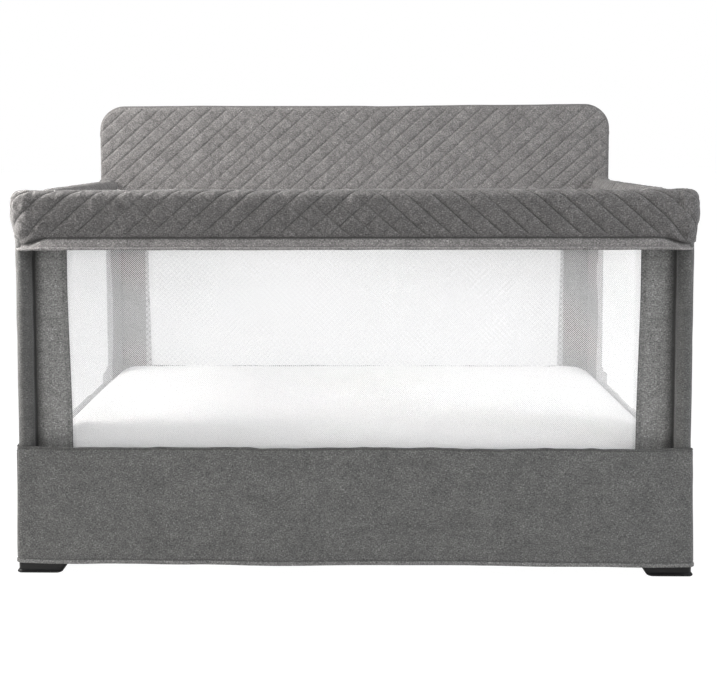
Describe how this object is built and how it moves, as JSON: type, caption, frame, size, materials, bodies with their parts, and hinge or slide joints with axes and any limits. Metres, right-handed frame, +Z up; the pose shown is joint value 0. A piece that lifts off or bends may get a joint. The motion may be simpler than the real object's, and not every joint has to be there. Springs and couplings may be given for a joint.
{
  "type": "folding travel crib",
  "caption": "Rectangular folding travel crib with a tall quilted headboard, padded rim, mesh windows, fabric skirts, a flat mattress and four plastic feet.",
  "frame": {"origin": "middle of the footprint on the floor", "axes": "+X to the right of a person facing the front, +Y towards the headboard, +Z up"},
  "size_m": [1.022, 0.72, 0.727],
  "materials": {
    "quilted_fabric": "melange grey woven cloth quilted in diamonds over thin wadding",
    "woven_fabric": "melange grey plain woven cloth",
    "mesh_fabric": "white breathable knitted mesh",
    "mattress_sheet": "white fitted sheet over a foam pad",
    "steel_tube": "dark grey powder coat, satin",
    "plated_steel": "zinc plated",
    "black_plastic": "fine texture black moulding",
    "grey_plastic": "dark grey moulding",
    "button_plastic": "smooth black",
    "fibreboard": "brown hardboard"
  },
  "bodies": {
    "rear_frame": {"rear_left_post": "steel_tube", "rear_right_post": "steel_tube", "headboard_hoop": "steel_tube", "headboard_panel": "fibreboard", "headboard_cover": "quilted_fabric", "rear_left_rim_bracket": "black_plastic", "rear_right_rim_bracket": "black_plastic", "rear_cross_tube": "steel_tube", "rear_left_floor_bracket": "black_plastic", "rear_right_floor_bracket": "black_plastic", "rear_left_foot": "black_plastic", "rear_right_foot": "black_plastic", "rear_mesh": "mesh_fabric", "rear_left_corner_fabric": "woven_fabric", "rear_right_corner_fabric": "woven_fabric", "rear_skirt": "woven_fabric", "left_side_mesh": "mesh_fabric", "right_side_mesh": "mesh_fabric", "left_side_skirt": "woven_fabric", "right_side_skirt": "woven_fabric"},
    "floor_rear": {"rear_floor_board": "fibreboard", "rear_mattress_half": "mattress_sheet", "rear_floor_hinge": "grey_plastic", "rear_centre_hinge_leaf": "plated_steel", "centre_hinge_pin": "plated_steel"},
    "floor_front": {"front_floor_board": "fibreboard", "front_mattress_half": "mattress_sheet", "front_floor_hinge": "grey_plastic", "front_centre_hinge_leaf": "plated_steel"},
    "front_frame": {"front_left_post": "steel_tube", "front_right_post": "steel_tube", "front_rail_tube": "steel_tube", "front_left_rim_bracket": "black_plastic", "front_right_rim_bracket": "black_plastic", "front_cross_tube": "steel_tube", "front_left_floor_bracket": "black_plastic", "front_right_floor_bracket": "black_plastic", "front_left_foot": "black_plastic", "front_right_foot": "black_plastic", "front_rail_cover": "quilted_fabric", "front_mesh": "mesh_fabric", "front_left_corner_fabric": "woven_fabric", "front_right_corner_fabric": "woven_fabric", "front_skirt": "woven_fabric"},
    "left_rail_rear": {"left_rail_rear_tube": "steel_tube", "left_rail_rear_cover": "quilted_fabric", "left_hinge_housing": "grey_plastic", "left_hinge_pin": "plated_steel"},
    "left_rail_front": {"left_rail_front_tube": "steel_tube", "left_rail_front_cover": "quilted_fabric", "left_hinge_tongue": "grey_plastic"},
    "left_lock": {"left_lock_button": "button_plastic"},
    "right_rail_rear": {"right_rail_rear_tube": "steel_tube", "right_rail_rear_cover": "quilted_fabric", "right_hinge_housing": "grey_plastic", "right_hinge_pin": "plated_steel"},
    "right_rail_front": {"right_rail_front_tube": "steel_tube", "right_rail_front_cover": "quilted_fabric", "right_hinge_tongue": "grey_plastic"},
    "right_lock": {"right_lock_button": "button_plastic"}
  },
  "joints": [
    {"name": "fold", "type": "hinge", "parent": "rear_frame", "child": "floor_rear", "pos_m": [0, 0.255, 0.15], "axis": [-1, 0, 0], "range_deg": [0, 80], "deforming": ["left_side_mesh", "right_side_mesh", "left_side_skirt", "right_side_skirt"]},
    {"name": "floor_centre", "type": "hinge", "parent": "floor_rear", "child": "floor_front", "pos_m": [0, 0, 0.15], "axis": [1, 0, 0], "range_deg": [0, 160]},
    {"name": "front_frame_hinge", "type": "hinge", "parent": "floor_front", "child": "front_frame", "pos_m": [0, -0.255, 0.15], "axis": [-1, 0, 0], "range_deg": [0, 80]},
    {"name": "left_rail_corner", "type": "hinge", "parent": "rear_frame", "child": "left_rail_rear", "pos_m": [-0.4925, 0.255, 0.56], "axis": [1, 0, 0], "range_deg": [0, 80]},
    {"name": "left_rail_centre", "type": "hinge", "parent": "left_rail_rear", "child": "left_rail_front", "pos_m": [-0.4925, 0, 0.56], "axis": [-1, 0, 0], "range_deg": [0, 160]},
    {"name": "left_lock_press", "type": "slide", "parent": "left_rail_rear", "child": "left_lock", "axis": [0, 0, 1], "range_m": [0, 0.005], "stiffness_N_per_m": 300, "springref_m": -0.003},
    {"name": "right_rail_corner", "type": "hinge", "parent": "rear_frame", "child": "right_rail_rear", "pos_m": [0.4925, 0.255, 0.56], "axis": [1, 0, 0], "range_deg": [0, 80]},
    {"name": "right_rail_centre", "type": "hinge", "parent": "right_rail_rear", "child": "right_rail_front", "pos_m": [0.4925, 0, 0.56], "axis": [-1, 0, 0], "range_deg": [0, 160]},
    {"name": "right_lock_press", "type": "slide", "parent": "right_rail_rear", "child": "right_lock", "axis": [0, 0, 1], "range_m": [0, 0.005], "stiffness_N_per_m": 300, "springref_m": -0.003}
  ],
  "couplings": [
    {"joint": "floor_centre", "follows": "fold", "ratio": 2},
    {"joint": "front_frame_hinge", "follows": "fold", "ratio": 1},
    {"joint": "left_rail_corner", "follows": "fold", "ratio": 1},
    {"joint": "left_rail_centre", "follows": "fold", "ratio": 2},
    {"joint": "right_rail_corner", "follows": "fold", "ratio": 1},
    {"joint": "right_rail_centre", "follows": "fold", "ratio": 2}
  ]
}
